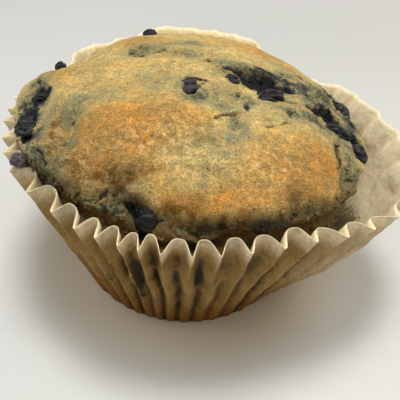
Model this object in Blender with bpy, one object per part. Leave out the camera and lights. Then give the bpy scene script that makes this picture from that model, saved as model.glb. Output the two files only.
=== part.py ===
"""Blueberry muffin baked in a fluted paper case.

The case is one thin pleated shell, peeled away from the muffin on its right. The muffin is
one solid with a low, uneven crown, and each berry that shows is a solid of its own, set in
its own socket. Sizes are in millimetres and become metres as the meshes are made. The
origin is the centre of the case's flat base, +Z is up and -Y is the front.
"""

import math

import bmesh
import bpy
import numpy as np
from mathutils import Matrix

MM = 0.001

# Paper case: a disc of baking paper pressed into pleats round a flat base.
BASE_RADIUS = 28.5
PAPER_THICKNESS = 0.3
PLEAT_DEPTH = 3.9
PLEAT_DEPTH_AT_BASE = 0.12
PLEAT_DEPTH_GROWTH = 0.8
PLEAT_ROUNDNESS = 2.4
PLEAT_STEPS = 5
PLEAT_JITTER = 0.12
PLEAT_WIDTH_JITTER = 0.18
RIM_WAVE = 1.2
RIM_CLEARANCE = 2.2
WALL_RINGS = 6
SEED = 7

# Each pair is an azimuth in degrees, from +X towards +Y, and the value there.
RIM_RADIUS = (
    (-170, 45.2), (-150, 45.5), (-127, 45.0), (-116, 45.9), (-100, 46.3), (-80, 46.7),
    (-63, 47.2), (-55, 48.2), (-46, 50.1), (-37, 52.2), (-28, 54.5), (-12, 57), (-3, 56.5),
    (5, 54.5), (15, 51.5), (26, 48.8), (36, 47.0), (46, 45.6), (58, 45.8), (68, 46.6),
    (105, 47), (127, 47), (147, 46), (168, 45.4),
)
RIM_HEIGHT = (
    (-170, 44), (-150, 43.7), (-130, 43.4), (-112, 44.1), (-90, 44.3), (-60, 43.8), (-45, 42.4),
    (-28, 40), (-10, 38.6), (8, 40), (20, 41), (31, 41), (40, 38.8), (52, 38), (62, 40),
    (72, 44.2), (105, 44.5), (116, 42.4),
    (126, 42), (135, 43.4), (146, 40.6), (158, 41.6), (172, 43),
)
WALL_BULGE = 0.83
WALL_SAG = 0.66
FLARE = (
    (-62, 0), (-45, 0.08), (-28, 0.5), (-14, 0.45), (0, 0.3), (20, 0.15), (34, 0.08),
    (55, 0), (90, 0), (200, 0),
)
FULLNESS = (
    (-70, 1), (-45, 0.85), (-25, 0.5), (5, 0.3), (30, 0.35), (60, 0.5), (150, 0.55),
    (180, 0.85), (200, 1),
)

# Outer folds that the front shows, in degrees. The other pleats share the rest of the turn.
FRONT_FOLDS = (
    188.3, 196.4, 203.2, 212.4, 223.1, 233.4, 242.2, 248.8, 255.4, 260.6,
    266.0, 273.5, 281.0, 288.7, 297.2, 305.5, 314.6, 322.7, 331.7,
)
HIDDEN_PLEATS = 25

# Muffin: a tapered body in the case, a recess at the rim, and a crown that spills over it.
GAP = 0.35
CROWN_HEIGHT = 57.5
CROWN_INNER_POWER = 2.1
CROWN_OUTER_POWER = 0.85
BODY_TAPER = 0.384
BODY_SHRINK = 0.9
RECESS_DEPTH = 2.6
LIP_RADIUS = (
    (-96, 41.2), (-86, 41.2), (-74, 40.6), (-60, 42.5), (-35, 43.3), (-12, 43), (10, 42.1),
    (40, 40.8), (65, 42.2), (90, 42.4), (125, 42.8), (145, 41), (158, 39.5), (170, 43),
    (185, 42.5), (200, 41.8), (216, 41.4), (226, 40.4), (233, 39.8), (242, 40), (256, 40.6),
)
LIP_HEIGHT = (
    (-96, 45.8), (-84, 45.4), (-74, 47.8), (-58, 47.2), (-45, 46), (-12, 42.5), (20, 41.5),
    (50, 41), (90, 42), (140, 42), (158, 43.5), (180, 46.5), (225, 48), (240, 46.6), (254, 47),
)
MUFFIN_COLUMNS = 78
CROWN_RINGS = 16
UNDER_LIP = ((1.0, 0.5), (2.4, 1.6), (4.2, RECESS_DEPTH))
SHOULDER_DROP = 6.5
BODY_LEVELS = (28, 18, 9, 3)

# Swellings and dents of the crown: place (x, y), half-widths, turn in degrees, height.
RELIEF = (
    (-14, -24, 13, 9, 12, 1.7),
    (21, -24, 13, 10, 20, 1.0),
    (-31, -1, 8, 10, 0, 1.0),
    (-15, 21, 10, 6, -25, 0.9),
    (15, 23, 12, 6, 10, 0.7),
    (0, -38, 9, 6, 0, 0.9),
    (-22, -30, 7, 2.4, -16, -1.0),
    (-11, -33.5, 5, 2, -4, -0.8),
    (-7.6, -38.6, 2.4, 4, -14, -1.6),
    (15, -2.5, 10, 4.5, -4, -1.5),
    (-2.5, 7.5, 7, 2.4, 8, -0.8),
    (-14.5, 9.5, 6, 2.2, -22, -1.0),
    (34, -6.5, 5, 4, -20, -0.9),
    (-36.5, -12, 4.5, 9, 10, -1.2),
    (38, 8, 3.5, 8, 20, -0.8),
    (9, -13, 7, 5, 40, -0.7),
    (5, -24, 6, 5, 30, -0.6),
)

# Edge of the browned crust at the front and right, with a ledge of crumb below it.
CRUST_EDGE_X = 33.3
CRUST_EDGE_RADIUS = (
    (-180, 50), (-142, 50), (-133, 39.6), (-124, 37.6), (-116, 36.2), (-109, 35), (-104, 35.6),
    (-96, 38), (-88, 38.8), (-77, 39.2), (-57, 40.6), (-40, 41.8), (-20, 50),
)
CRUST_STEP = 2.4
CRUST_EDGE_WIDTH = 1.3
LEDGE_SPAN = ((-180, 0), (-138, 0), (-126, 0.8), (-86, 1), (-30, 1), (-16, 0), (60, 0))

# Berries that show: place (x, y), depth of the centre below the crown, half-widths, turn.
BERRIES = {
    "berry_top": ((-0.6, -5.0), 3.1, (4.6, 4.2, 4.2), 0),
    "berry_burst": ((17.2, -2.6), 2.0, (5.0, 4.2, 3.8), -6),
    "berry_collapsed": ((8.4, 0.4), 2.2, (3.4, 2.8, 3.2), 0),
    "berry_right": ((33.4, -6.6), 1.6, (4.4, 3.0, 3.2), -25),
    "berry_right_edge": ((39.2, -9.4), 1.8, (3.2, 3.2, 3.4), 0),
    "berry_right_back": ((37.6, 9.4), 1.9, (3.0, 5.0, 3.0), 18),
    "berry_left_upper": ((-34.8, -5.2), 2.2, (3.2, 2.8, 3.2), 0),
    "berry_left": ((-36.0, -13.2), 0.9, (3.8, 4.0, 2.6), 20),
    "berry_front": ((-5.8, -37.4), 2.6, (3.8, 3.0, 3.2), 0),
    "berry_front_right": ((15.6, -35.8), 4.6, (3.2, 2.9, 2.8), -20),
    "berry_rim": ((-36.2, -24.0), 1.0, (2.1, 2.0, 1.7), 0),
    "berry_back": ((-14.3, 39.0), -1.7, (2.2, 2.2, 2.0), 0),
    "berry_back_left": ((-35.8, 17.8), -1.6, (1.8, 1.8, 1.7), 0),
}
BERRY_SECTORS = 10
BERRY_BANDS = 7
BERRY_WRINKLE = 0.06
HEIGHT_SOLVER_STEPS = 8
SHARP_EDGE = math.radians(50)


def around(azimuth, pairs):
    """A smooth closed curve through (azimuth in degrees, value) pairs, read in radians."""
    places = np.array([pair[0] for pair in pairs], float)
    values = np.array([pair[1] for pair in pairs], float)
    places = np.concatenate([places - 360, places, places + 360])
    values = np.concatenate([values, values, values])
    turned = (np.degrees(azimuth) - pairs[0][0]) % 360 + pairs[0][0]
    after = np.clip(np.searchsorted(places, turned, side="right"), 1, len(places) - 1)
    share = (turned - places[after - 1]) / (places[after] - places[after - 1])
    eased = share * share * (3 - 2 * share)
    return values[after - 1] + (values[after] - values[after - 1]) * eased


def smooth_step(value):
    """0 below 0, 1 above 1, with a smooth rise between."""
    held = np.clip(value, 0, 1)
    return held * held * (3 - 2 * held)


def crown_top(x, y):
    """Height of the crown: a low dome on an uneven lip, with its relief and its crust step."""
    azimuth = np.arctan2(y, x)
    radius = np.hypot(x, y)
    lip = around(azimuth, LIP_HEIGHT)
    share = np.clip(radius / around(azimuth, LIP_RADIUS), 0, 1)
    dome = (1 - share ** CROWN_INNER_POWER) ** CROWN_OUTER_POWER
    height = lip + (CROWN_HEIGHT - lip) * dome
    for centre_x, centre_y, wide, deep, turn, rise in RELIEF:
        cosine, sine = math.cos(math.radians(turn)), math.sin(math.radians(turn))
        along = ((x - centre_x) * cosine + (y - centre_y) * sine) / wide
        across = ((y - centre_y) * cosine - (x - centre_x) * sine) / deep
        height = height + rise * np.exp(-along ** 2 - across ** 2)
    outside = np.maximum(x - CRUST_EDGE_X, radius - around(azimuth, CRUST_EDGE_RADIUS))
    ledge = smooth_step(outside / CRUST_EDGE_WIDTH) * around(azimuth, LEDGE_SPAN)
    return height - CRUST_STEP * ledge


def case_wall(azimuth, share):
    """Radius and height of the case's outer folds at a share of the way up the wall."""
    flare = around(azimuth, FLARE)
    out = share + WALL_BULGE * flare * share * (1 - share)
    up = share - WALL_SAG * flare * share * (1 - share) ** 2
    radius = BASE_RADIUS + (around(azimuth, RIM_RADIUS) - BASE_RADIUS) * out
    return radius, around(azimuth, RIM_HEIGHT) * up


def pleat_depth(azimuth, share):
    """How far the inner folds lie inside the outer ones."""
    growth = PLEAT_DEPTH_AT_BASE + (1 - PLEAT_DEPTH_AT_BASE) * share ** PLEAT_DEPTH_GROWTH
    return PLEAT_DEPTH * growth * around(azimuth, FULLNESS)


def case_inside(azimuth, height):
    """Radius inside the innermost folds at a height, or at the rim above it."""
    share = np.clip(height / around(azimuth, RIM_HEIGHT), 0, 1)
    for _ in range(HEIGHT_SOLVER_STEPS):
        missing = height - case_wall(azimuth, share)[1]
        share = np.clip(share + missing / around(azimuth, RIM_HEIGHT), 0, 1)
    deepest = (1 + PLEAT_JITTER) * pleat_depth(azimuth, share)
    return case_wall(azimuth, share)[0] - deepest - PAPER_THICKNESS - GAP


def body_radius(azimuth, height):
    """Radius of the muffin's side: the case's own cone, kept inside the folds."""
    cone = BASE_RADIUS + BODY_TAPER * height - BODY_SHRINK
    return np.minimum(cone, case_inside(azimuth, height))


def ring_mesh(name, rings, bottom_closed, top_point):
    """A closed skin over rings of points, with a fan or one flat face at each end."""
    columns = rings.shape[1]
    points = rings.reshape(-1, 3)
    faces = []
    for ring in range(len(rings) - 1):
        for column in range(columns):
            beside = (column + 1) % columns
            low, high = ring * columns, (ring + 1) * columns
            faces.append((low + column, low + beside, high + beside, high + column))
    if bottom_closed:
        faces.append(tuple(reversed(range(columns))))
    last = (len(rings) - 1) * columns
    if top_point is None:
        faces.append(tuple(range(last, last + columns)))
    else:
        points = np.vstack([points, top_point])
        tip = len(points) - 1
        faces += [(last + column, last + (column + 1) % columns, tip) for column in range(columns)]
    mesh = bpy.data.meshes.new(name)
    mesh.from_pydata((points * MM).tolist(), [], faces)
    mesh.update()
    return mesh


def finish(name, mesh, colour, roughness):
    """Puts a mesh in the scene as a named object with its own material."""
    material = bpy.data.materials.new(name)
    material.use_nodes = True
    shader = material.node_tree.nodes["Principled BSDF"]
    shader.inputs["Base Color"].default_value = (*colour, 1)
    shader.inputs["Roughness"].default_value = roughness
    shader.inputs["Metallic"].default_value = 0
    mesh.materials.append(material)
    mesh.shade_smooth()
    mesh.set_sharp_from_angle(angle=SHARP_EDGE)
    item = bpy.data.objects.new(name, mesh)
    bpy.context.collection.objects.link(item)
    return item


def build_muffin():
    """The baked crumb: crown rings from the lip inwards, over the recess and the body."""
    azimuth = np.linspace(-np.pi, np.pi, MUFFIN_COLUMNS, endpoint=False)
    lip_radius = around(azimuth, LIP_RADIUS)
    lip_height = crown_top(lip_radius * np.cos(azimuth), lip_radius * np.sin(azimuth))
    floor_height = PAPER_THICKNESS + GAP
    profile = [(body_radius(azimuth, height + azimuth * 0), height + azimuth * 0)
               for height in (floor_height, *reversed(BODY_LEVELS))]
    shoulder = lip_height - SHOULDER_DROP
    profile.append((body_radius(azimuth, shoulder), shoulder))
    for drop, inset in reversed(UNDER_LIP):
        height = lip_height - drop
        radius = lip_radius - inset
        held_in = height < around(azimuth, RIM_HEIGHT) + RIM_CLEARANCE
        inside = np.minimum(radius, case_inside(azimuth, height))
        profile.append((np.where(held_in, inside, radius), height))
    rings = [np.stack([radius * np.cos(azimuth), radius * np.sin(azimuth), height], axis=-1)
             for radius, height in profile]
    for step in range(CROWN_RINGS):
        share = math.cos(0.5 * math.pi * step / CROWN_RINGS)
        x = share * lip_radius * np.cos(azimuth)
        y = share * lip_radius * np.sin(azimuth)
        rings.append(np.stack([x, y, crown_top(x, y)], axis=-1))
    top = np.array([0, 0, float(crown_top(np.zeros(1), np.zeros(1))[0])])
    return finish("muffin", ring_mesh("muffin", np.array(rings), True, top), (0.56, 0.36, 0.13), 0.75)


def fold_azimuths():
    """Azimuths of the outer folds once round, in degrees, with the first one repeated at the end."""
    draw = np.random.default_rng(SEED)
    start, end = FRONT_FOLDS[-1], FRONT_FOLDS[0] + 360
    widths = 1 + PLEAT_WIDTH_JITTER * draw.uniform(-1, 1, HIDDEN_PLEATS)
    hidden = start + (end - start) * np.cumsum(widths) / widths.sum()
    return np.concatenate([FRONT_FOLDS, hidden])


def build_case():
    """The paper case: a pleated wall round a flat floor, with the same wall inside it."""
    folds = fold_azimuths()
    pleats = len(folds) - 1
    phase = np.arange(pleats * PLEAT_STEPS) / PLEAT_STEPS
    azimuth = np.radians(np.interp(phase, np.arange(pleats + 1), folds))
    draw = np.random.default_rng(SEED + 1)
    strength = 1 + PLEAT_JITTER * draw.uniform(-1, 1, pleats)[np.floor(phase).astype(int)]
    inward = (1 - np.abs(2 * (phase % 1) - 1) ** PLEAT_ROUNDNESS) * strength
    outer = []
    for ring in range(WALL_RINGS + 1):
        share = ring / WALL_RINGS
        radius, height = case_wall(azimuth, azimuth * 0 + share)
        radius = radius - pleat_depth(azimuth, azimuth * 0 + share) * inward
        height = height + RIM_WAVE * inward * share ** 2 * around(azimuth, FULLNESS)
        outer.append(np.stack([radius * np.cos(azimuth), radius * np.sin(azimuth), height], axis=-1))
    outer = np.array(outer)
    up = np.gradient(outer, axis=0)
    along = np.roll(outer, -1, axis=1) - np.roll(outer, 1, axis=1)
    facing = np.cross(along, up)
    inner = outer - PAPER_THICKNESS * facing / np.linalg.norm(facing, axis=-1, keepdims=True)
    inner[0, :, 2] = PAPER_THICKNESS
    rings = np.concatenate([outer, inner[::-1]])
    return finish("paper_case", ring_mesh("paper_case", rings, True, None), (0.52, 0.38, 0.20), 0.65)


def berry_mesh(name, centre, half_widths, turn, extra):
    """A slightly shrivelled ellipsoid with a dimpled end, larger all round by the extra."""
    bm = bmesh.new()
    bmesh.ops.create_uvsphere(bm, u_segments=BERRY_SECTORS, v_segments=BERRY_BANDS, radius=1)
    for vert in bm.verts:
        wave = math.sin(3 * math.atan2(vert.co.y, vert.co.x) + 2 * vert.co.z)
        vert.co *= 1 + BERRY_WRINKLE * wave * (1 - vert.co.z ** 2)
    sizes = Matrix.Diagonal([half + extra for half in half_widths] + [1])
    place = Matrix.Translation(centre) @ Matrix.Rotation(math.radians(turn), 4, "Z") @ sizes
    bm.transform(Matrix.Scale(MM, 4) @ place)
    mesh = bpy.data.meshes.new(name)
    bm.to_mesh(mesh)
    bm.free()
    return mesh


def build_berries(muffin):
    """The berries, and a socket in the muffin for each one, larger all round by the gap."""
    sockets = bpy.data.collections.new("sockets")
    bpy.context.scene.collection.children.link(sockets)
    for name, ((x, y), depth, half_widths, turn) in BERRIES.items():
        top = float(crown_top(np.array([x]), np.array([y]))[0])
        centre = (x, y, top - depth)
        finish(name, berry_mesh(name, centre, half_widths, turn, 0), (0.03, 0.03, 0.06), 0.45)
        cutter_mesh = berry_mesh(name + "_socket", centre, half_widths, turn, GAP)
        cutter = bpy.data.objects.new(name + "_socket", cutter_mesh)
        cutter.hide_render = True
        cutter.display_type = "WIRE"
        sockets.objects.link(cutter)
    cut = muffin.modifiers.new("berry sockets", "BOOLEAN")
    cut.operand_type = "COLLECTION"
    cut.collection = sockets
    cut.operation = "DIFFERENCE"
    cut.solver = "EXACT"


for existing in list(bpy.data.objects):
    bpy.data.objects.remove(existing)
build_case()
build_berries(build_muffin())
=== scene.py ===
"""A large blueberry muffin in its fluted paper case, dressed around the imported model.

Sizes are in millimetres and become metres as each mesh is made. An azimuth is in degrees
from +X towards +Y, and -Y is the front.
"""

import math

import bpy
import numpy as np
from mathutils import Matrix, Vector


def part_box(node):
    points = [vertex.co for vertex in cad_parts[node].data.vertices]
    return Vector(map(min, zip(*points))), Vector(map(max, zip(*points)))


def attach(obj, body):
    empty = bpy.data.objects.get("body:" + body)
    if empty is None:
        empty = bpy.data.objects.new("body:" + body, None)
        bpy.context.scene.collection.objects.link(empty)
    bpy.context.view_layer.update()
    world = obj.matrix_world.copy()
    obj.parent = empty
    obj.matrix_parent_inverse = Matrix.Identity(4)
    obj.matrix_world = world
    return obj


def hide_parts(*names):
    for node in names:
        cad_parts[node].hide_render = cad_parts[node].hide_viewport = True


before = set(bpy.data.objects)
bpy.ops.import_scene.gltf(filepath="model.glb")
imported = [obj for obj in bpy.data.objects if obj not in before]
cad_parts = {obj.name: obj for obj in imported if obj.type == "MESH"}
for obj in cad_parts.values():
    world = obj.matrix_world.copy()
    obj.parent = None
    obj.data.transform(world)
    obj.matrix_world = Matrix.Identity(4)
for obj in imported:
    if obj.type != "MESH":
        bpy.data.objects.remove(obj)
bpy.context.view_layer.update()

MM = 0.001

# The table, the light and the camera. The table is a plain pale sheet in a bright room, lit
# softly from above and from all round. Its colour is painted darker far away, as painted shade,
# and warmer and darker close to the brown paper, as a painted warm shadow. The camera looks
# down on the muffin from the front.
CAMERA_ELEVATION = math.radians(42)
CAMERA_DISTANCE = 178
CAMERA_TARGET = (3.6, 0, 17.3)
CAMERA_ROLL = math.radians(4.2)
CAMERA_LENS = 58.5
FLOOR_HALF_WIDTH = 1500
FLOOR_NEAR = (0.77, 0.775, 0.765, 1)
FLOOR_FAR_PAINTED_SHADE = (0.53, 0.53, 0.525, 1)
FLOOR_NEAR_Y = -110
FLOOR_FAR_Y = 160
FLOOR_PAINTED_WARM_SHADOW = (0.92, 0.80, 0.62, 1)
FLOOR_PAINTED_SHADOW_REACH = (30, 54)
ROOM_COLOUR = (1.0, 0.98, 0.94, 1)
ROOM_STRENGTH = 0.03
LIGHT_AIM = (0, 0, 20)
# Soft lights: place, side of the square, watts, colour.
LIGHTS = {
    "ceiling": ((0, 80, 900), 240, 4.7, (1.0, 0.99, 0.94)),
    "left": ((-700, 60, 560), 800, 4.1, (0.97, 1.0, 1.0)),
    "right": ((700, 60, 560), 800, 2.5, (1.0, 0.96, 0.88)),
    "back_right": ((450, 600, 500), 600, 2.6, (1.0, 0.95, 0.84)),
    "front": ((0, -600, 700), 700, 1.5, (1.0, 0.97, 0.90)),
}


def node(kind, sockets=None, tree=None, **settings):
    """Adds a shader node to a tree, or to the tree of the sockets that are linked to it,
    sets its properties, and fills or links its sockets."""
    sockets = sockets or {}
    for value in sockets.values():
        if isinstance(value, bpy.types.NodeSocket):
            tree = value.id_data
    made = tree.nodes.new(kind)
    for key, value in settings.items():
        setattr(made, key, value)
    for key, value in sockets.items():
        if isinstance(value, bpy.types.NodeSocket):
            tree.links.new(value, made.inputs[key])
        else:
            made.inputs[key].default_value = value
    return made


def new_material(name, roughness, specular):
    """A material, its Principled shader, and the place of each point of its piece."""
    material = bpy.data.materials.new(name)
    material.use_nodes = True
    shader = material.node_tree.nodes["Principled BSDF"]
    shader.inputs["Roughness"].default_value = roughness
    shader.inputs["Specular IOR Level"].default_value = specular
    return material, shader, node("ShaderNodeTexCoord", tree=material.node_tree).outputs["Object"]


def feed(shader, socket, value):
    """Links a value to one of a shader's sockets."""
    shader.id_data.links.new(value, shader.inputs[socket])


def reckon(operation, first, second=0.0):
    """One sum with two values."""
    return node("ShaderNodeMath", {0: first, 1: second}, operation=operation).outputs[0]


def band(value, low, high, to_low=0.0, to_high=1.0):
    """A smooth rise from one value at low to another at high."""
    levels = {"Value": value, "From Min": low, "From Max": high, "To Min": to_low, "To Max": to_high}
    return node("ShaderNodeMapRange", levels, interpolation_type="SMOOTHSTEP").outputs["Result"]


def blend(factor, first, second, kind="MIX"):
    """Mixes two colours by a factor."""
    mix = node("ShaderNodeMix", {0: factor, 6: first, 7: second}, data_type="RGBA", blend_type=kind)
    return mix.outputs[2]


floor_mesh = bpy.data.meshes.new("table")
floor_corners = [(x * FLOOR_HALF_WIDTH * MM, y * FLOOR_HALF_WIDTH * MM, 0) for x, y in
                 ((-1, -1), (1, -1), (1, 1), (-1, 1))]
floor_mesh.from_pydata(floor_corners, [], [(0, 1, 2, 3)])
floor = bpy.data.objects.new("table", floor_mesh)
bpy.context.collection.objects.link(floor)
floor_material, floor_shader, floor_place = new_material("pale table", 0.7, 0.06)
# Painted shade: the table's colour runs from the near colour to the darker far one.
floor_painted_falloff = band(node("ShaderNodeSeparateXYZ", {"Vector": floor_place}).outputs["Y"],
                   FLOOR_NEAR_Y * MM, FLOOR_FAR_Y * MM)
floor_cloud = node("ShaderNodeTexNoise", {"Vector": floor_place, "Scale": 6.0, "Detail": 2.0})
floor_mottle = node("ShaderNodeMapRange", {"Value": floor_cloud.outputs["Fac"], "From Min": 0.3,
                                           "From Max": 0.7, "To Min": -0.1, "To Max": 0.1})
floor_colour = blend(reckon("ADD", floor_painted_falloff, floor_mottle.outputs["Result"]), FLOOR_NEAR, FLOOR_FAR_PAINTED_SHADE)
# Painted warm shadow on the table round the case, fading out between the two reaches.
floor_away = node("ShaderNodeVectorMath", {0: floor_place}, operation="LENGTH").outputs["Value"]
floor_painted_shadow = band(floor_away, FLOOR_PAINTED_SHADOW_REACH[0] * MM, FLOOR_PAINTED_SHADOW_REACH[1] * MM, 1.0, 0.0)
feed(floor_shader, "Base Color", blend(floor_painted_shadow, floor_colour, FLOOR_PAINTED_WARM_SHADOW, "MULTIPLY"))
floor_mesh.materials.append(floor_material)

room = bpy.data.worlds.new("room")
bpy.context.scene.world = room
room.use_nodes = True
room.node_tree.nodes["Background"].inputs["Color"].default_value = ROOM_COLOUR
room.node_tree.nodes["Background"].inputs["Strength"].default_value = ROOM_STRENGTH

for name, (place, size, watts, colour) in LIGHTS.items():
    lamp = bpy.data.lights.new(name, "AREA")
    lamp.size = size * MM
    lamp.energy = watts
    lamp.color = colour
    light = bpy.data.objects.new(name, lamp)
    light.location = Vector(place) * MM
    light.rotation_euler = (Vector(LIGHT_AIM) - Vector(place)).to_track_quat("-Z", "Y").to_euler()
    bpy.context.collection.objects.link(light)

look = Vector((0, math.cos(CAMERA_ELEVATION), -math.sin(CAMERA_ELEVATION)))
camera_data = bpy.data.cameras.new("camera")
camera_data.lens = CAMERA_LENS
camera_data.sensor_width = 36
camera_data.clip_start = 0.01
camera = bpy.data.objects.new("camera", camera_data)
camera_place = (Vector(CAMERA_TARGET) - look * CAMERA_DISTANCE) * MM
camera_turn = look.to_track_quat("-Z", "Y").to_matrix().to_4x4() @ Matrix.Rotation(CAMERA_ROLL, 4, "Z")
camera.matrix_world = Matrix.Translation(camera_place) @ camera_turn
bpy.context.collection.objects.link(camera)
bpy.context.scene.camera = camera
bpy.context.scene.view_settings.view_transform = "Standard"


# The paper case: one disc of unbleached baking paper pressed into forty-odd pleats round a
# flat base. The batter has glued it to the crumb, and on the right the wall has been
# peeled away and flattened into a wide flap.
BASE_RADIUS = 28.5
RIM_RADIUS = (
    (-170, 45.2), (-150, 45.5), (-127, 45), (-116, 45.9), (-100, 46.3), (-80, 46.7), (-63, 47.2),
    (-55, 48.2), (-46, 50.1), (-37, 52.2), (-28, 54.5), (-12, 57), (-3, 56.5), (5, 54.5), (15, 51.5),
    (26, 48.8), (36, 47), (46, 45.6), (58, 45.8), (68, 46.6), (105, 47), (127, 47), (147, 46),
    (168, 45.4),
)
RIM_HEIGHT = (
    (-170, 44), (-150, 43.7), (-130, 43.4), (-112, 44.1), (-90, 44.3), (-60, 43.8), (-45, 42.4),
    (-28, 40), (-10, 38.6), (8, 40), (20, 41), (31, 41), (40, 38.8), (52, 38), (62, 40), (72, 44.2),
    (105, 44.5), (116, 42.4), (126, 42), (135, 43.4), (146, 40.6), (158, 41.6), (172, 43),
)
FLARE = (
    (-62, 0), (-45, 0.08), (-28, 0.5), (-14, 0.45), (0, 0.3), (20, 0.15), (34, 0.08), (55, 0), (90, 0),
    (200, 0),
)
FULLNESS = (
    (-70, 1), (-45, 0.85), (-25, 0.5), (5, 0.3), (30, 0.35), (60, 0.5), (150, 0.55), (180, 0.85),
    (200, 1),
)
FRONT_FOLDS = (
    188.3, 196.4, 203.2, 212.4, 223.1, 233.4, 242.2, 248.8, 255.4, 260.6,
    266.0, 273.5, 281.0, 288.7, 297.2, 305.5, 314.6, 322.7, 331.7,
)
HIDDEN_PLEATS = 25
PLEAT_WIDTH_JITTER = 0.18
PLEAT_JITTER = 0.12
PLEAT_DEPTH = 3.9
PLEAT_DEPTH_AT_BASE = 0.12
PLEAT_GROWTH_POWER = 0.8
PLEAT_LEAN = 0.12
PLEAT_STEPS = 24
PANEL_BULGE = 0.30
PANEL_POWER = 0.85
RIM_POWER = 1.8
NECKING = 0.45
NECKING_HEIGHT = 0.08
CREASE_WANDER = 2.3
WALL_BULGE = 0.83
WALL_SAG = 0.66
WALL_RINGS = 38
RIM_WAVE = 1.2
RIM_UNEVENNESS = 0.5
CRINKLE = 0.42
FLAP_SWELL = 0.75
FULL_FLARE = 0.3
BASE_RINGS = 4
# Random fields on the wall, read from a plain drum: its radius and height, and each field's
# size, seed and layers.
DRUM_RADIUS = 20
DRUM_HEIGHT = 24
CREASE_FIELD = (4.6, 3, 2)
RIM_FIELD = (6, 8)
CRINKLE_FIELD = (2.2, 5, 3)
SWELL_FIELD = (8, 6, 2)
PAPER_THICKNESS = 0.14
PAPER_SEED = 7
# Patches where a berry behind the paper stains it, and one patch at azimuth 256.6 that is
# painted shadow in a deep groove: azimuth, share of the height, half-width in degrees,
# half-height as a share, strength.
PAPER_STAINS_AND_GROOVE_SHADOW = (
    (263, 0.62, 1.7, 0.1, 1.2), (262.4, 0.78, 1.4, 0.08, 0.6), (269.4, 0.62, 1.5, 0.08, 1.1),
    (269.6, 0.8, 1.5, 0.12, 0.6), (276.6, 0.62, 1.5, 0.11, 1.4), (276.8, 0.76, 1.5, 0.08, 0.7),
    (281.6, 0.68, 1.5, 0.07, 0.8), (256.6, 0.58, 1.5, 0.28, 1.5), (248, 0.62, 1.8, 0.14, 0.9),
    (243, 0.42, 1.6, 0.14, 0.7), (232, 0.56, 2.2, 0.18, 0.7), (222, 0.4, 2.4, 0.16, 0.7),
    (208, 0.52, 2.4, 0.2, 0.6), (292.5, 0.48, 2, 0.18, 0.7), (301, 0.6, 2.2, 0.12, 0.6),
    (20, 0.6, 3, 0.15, 0.6), (110, 0.6, 4, 0.16, 0.7), (150, 0.66, 3, 0.14, 0.8),
    (60, 0.45, 3, 0.12, 0.6), (80, 0.7, 2.4, 0.12, 0.6), (176, 0.5, 2.6, 0.2, 0.7),
)
# Where crumb has stayed on the peeled wall, inside, in the same terms.
PAPER_RESIDUE = (
    (354, 0.46, 7, 0.09, 1), (340, 0.6, 6, 0.1, 0.9), (4, 0.36, 6, 0.1, 0.7), (330, 0.74, 4, 0.1, 0.7),
    (14, 0.5, 5, 0.07, 0.4), (322, 0.84, 4, 0.08, 0.5),
)


def around(azimuth, pairs):
    """A smooth closed curve through (azimuth in degrees, value) pairs, read in radians.

    Between two pairs the value runs by 3s^2 - 2s^3 of the share s of the way."""
    places = np.array([pair[0] for pair in pairs], float)
    values = np.array([pair[1] for pair in pairs], float)
    places = np.concatenate([places - 360, places, places + 360])
    values = np.concatenate([values, values, values])
    turned = (np.degrees(azimuth) - pairs[0][0]) % 360 + pairs[0][0]
    after = np.clip(np.searchsorted(places, turned, side="right"), 1, len(places) - 1)
    share = (turned - places[after - 1]) / (places[after] - places[after - 1])
    eased = share * share * (3 - 2 * share)
    return values[after - 1] + (values[after] - values[after - 1]) * eased


def smooth_step(value):
    """0 below 0 and 1 above 1, by 3v^2 - 2v^3 between."""
    held = np.clip(value, 0, 1)
    return held * held * (3 - 2 * held)


def chance(whole, seed):
    """A number from 0 to 1 for each row of whole numbers: its terms times large primes,
    mixed by shifts and products, the same each run."""
    primes = np.array([73856093, 19349663, 83492791], dtype=np.uint64)[:whole.shape[-1]]
    mixed = np.bitwise_xor.reduce(whole.astype(np.int64).astype(np.uint64) * primes, axis=-1)
    mixed = (mixed + np.uint64(seed * 2654435761)) & np.uint64(0xFFFFFFFF)
    for _ in range(2):
        mixed = ((mixed ^ (mixed >> np.uint64(15))) * np.uint64(0x2C1B3C6D)) & np.uint64(0xFFFFFFFF)
        mixed = ((mixed ^ (mixed >> np.uint64(12))) * np.uint64(0x297A2D39)) & np.uint64(0xFFFFFFFF)
    return (mixed ^ (mixed >> np.uint64(15))).astype(float) / 2 ** 32


def cloud(points, size, seed, layers=1):
    """A smooth random field from -1 to 1: a random value at each corner of a lattice,
    blended across each cell by smooth_step. Each further layer is half as large and strong."""
    total = np.zeros(points.shape[:-1])
    strength, reach = 1.0, 0.0
    for layer in range(layers):
        scaled = points * 2 ** layer / size
        corner = np.floor(scaled)
        share = smooth_step(scaled - corner)
        value = np.zeros(points.shape[:-1])
        for offset in np.ndindex(*(2,) * points.shape[-1]):
            weight = np.prod(np.where(np.array(offset) == 1, share, 1 - share), axis=-1)
            value += weight * chance(corner + np.array(offset), seed + 31 * layer)
        total += strength * (2 * value - 1)
        reach += strength
        strength /= 2
    return total / reach


def at_turn(reach, turn, level):
    """Points at a reach from the upright axis, an angle round it and a height."""
    return np.stack(np.broadcast_arrays(reach * np.cos(turn), reach * np.sin(turn), level), axis=-1)


def grid_quads(rows, columns, wrapped):
    """Corner numbers of the quads of a grid of points, row after row, closed if wrapped."""
    starts = np.arange(columns if wrapped else columns - 1)
    row, column = np.meshgrid(np.arange(rows - 1), starts, indexing="ij")
    beside = (column + 1) % columns
    quads = np.stack([row * columns + column, row * columns + beside,
                      (row + 1) * columns + beside, (row + 1) * columns + column], axis=-1)
    return quads.reshape(-1, 4)


def fan(ring, tip):
    """Corner numbers of the triangles from a closed ring of points to one point."""
    return np.stack([ring, np.roll(ring, -1), np.full(len(ring), tip)], axis=-1)


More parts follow.
